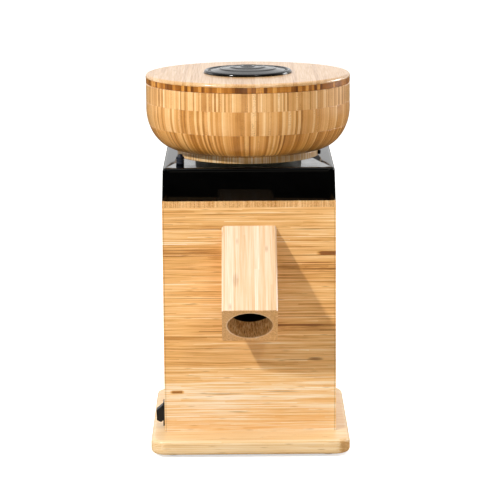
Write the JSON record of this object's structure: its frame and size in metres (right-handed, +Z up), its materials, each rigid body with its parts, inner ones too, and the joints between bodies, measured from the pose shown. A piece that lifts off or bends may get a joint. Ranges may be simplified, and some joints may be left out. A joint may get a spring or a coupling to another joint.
{
  "type": "electric grain mill",
  "caption": "Electric stone grain mill with a square bamboo housing, a round bamboo hopper with a lid, a sloping square flour spout, a black top cap and a rocker switch.",
  "frame": {"origin": "on the table, under the middle of the whole mill's box", "axes": "+Z up along the mill's height, -Y towards the spout and the user, +X to the user's right"},
  "size_m": [0.2096, 0.2632, 0.3809],
  "materials": {
    "bamboo_board": "oiled satin, edge-laminated",
    "bamboo_blocks": "oiled satin, block-laminated",
    "bamboo_dark": "oiled satin, carbonised",
    "bamboo_pale": "oiled satin",
    "beech": "sawn",
    "black_gloss_abs": "moulded, high gloss",
    "black_nylon": "moulded, fine texture",
    "black_rubber": "moulded, satin",
    "zinc_steel": "zinc plated",
    "black_steel": "black oxide and black paint",
    "cast_aluminium": "cast, as blasted",
    "steel": "ground",
    "core_steel": "stacked laminations",
    "copper_coil": "varnished enamelled wire",
    "mill_stone": "dressed corundum and ceramic",
    "white_acetal": "moulded",
    "grey_plastic": "moulded"
  },
  "bodies": {
    "housing": {"base_plate": "bamboo_board", "bottom_cover": "black_steel", "feet": "black_rubber", "base_screws": "zinc_steel", "front_panel": "bamboo_board", "rear_panel": "bamboo_board", "left_panel": "bamboo_board", "right_panel": "bamboo_board", "corner_blocks": "beech", "top_board": "bamboo_board", "board_screws": "zinc_steel", "top_cap": "black_gloss_abs", "cap_screws": "zinc_steel", "index_post": "black_nylon", "mill_chamber": "cast_aluminium", "chamber_gasket": "black_rubber", "chamber_bolts": "zinc_steel", "thread_ring": "white_acetal", "guide_pins": "steel", "carrier_springs": "steel", "spout": "bamboo_pale", "spout_dowels": "beech", "stator_core": "core_steel", "stator_coils": "copper_coil", "upper_end_bell": "cast_aluminium", "lower_end_bell": "cast_aluminium", "tie_bolts": "zinc_steel", "bearing_outer_races": "steel", "rubber_mounts": "black_rubber", "mount_bolts": "zinc_steel", "switch_body": "black_nylon", "run_capacitor": "grey_plastic", "terminal_block": "white_acetal", "cord_gland": "black_nylon"},
    "rotor": {"motor_shaft": "steel", "rotor_core": "core_steel", "cooling_fan": "black_nylon", "bearing_inner_races": "steel", "stone_hub": "cast_aluminium", "stone_nut": "steel", "lower_stone": "mill_stone"},
    "ball_sets": {"bearing_balls": "steel"},
    "carrier": {"upper_stone": "mill_stone", "stone_carrier": "cast_aluminium", "carrier_screws": "zinc_steel"},
    "hopper": {"thread_collar": "white_acetal", "collar_screws": "zinc_steel", "hopper_ring": "bamboo_blocks", "ring_screw": "black_steel", "feed_tube": "white_acetal", "finger_guard": "steel", "hopper_screws": "zinc_steel", "hopper_floor": "bamboo_blocks", "course_low": "bamboo_blocks", "course_mid": "bamboo_blocks", "course_top": "bamboo_blocks"},
    "lid": {"lid_band": "bamboo_dark", "lid_top": "bamboo_pale", "lid_pad": "black_rubber"},
    "rocker": {"rocker": "black_nylon"}
  },
  "joints": [
    {"name": "rotor_spin", "type": "hinge", "parent": "housing", "child": "rotor", "pos_m": [0, 0.02681, 0.15], "axis": [0, 0, 1], "continuous": true},
    {"name": "ball_spin", "type": "hinge", "parent": "housing", "child": "ball_sets", "pos_m": [0, 0.02681, 0.15], "axis": [0, 0, 1], "continuous": true},
    {"name": "stone_gap", "type": "slide", "parent": "housing", "child": "carrier", "axis": [0, 0, 1], "range_m": [-0.00101, 0.00151], "deforming": ["carrier_springs"]},
    {"name": "hopper_turn", "type": "hinge", "parent": "carrier", "child": "hopper", "pos_m": [0, 0.02681, 0.3], "axis": [0, 0, 1], "range_deg": [-120, 180]},
    {"name": "lid_lift", "type": "slide", "parent": "hopper", "child": "lid", "axis": [0, 0, 1], "range_m": [0, 0.12]},
    {"name": "rocker_tip", "type": "hinge", "parent": "housing", "child": "rocker", "pos_m": [-0.088, -0.03719, 0.032], "axis": [0, -1, 0], "range_deg": [0, 48]}
  ],
  "couplings": [
    {"joint": "stone_gap", "follows": "hopper_turn", "m_per_rad": 0.00047746},
    {"joint": "ball_spin", "follows": "rotor_spin", "ratio": 0.36364}
  ]
}
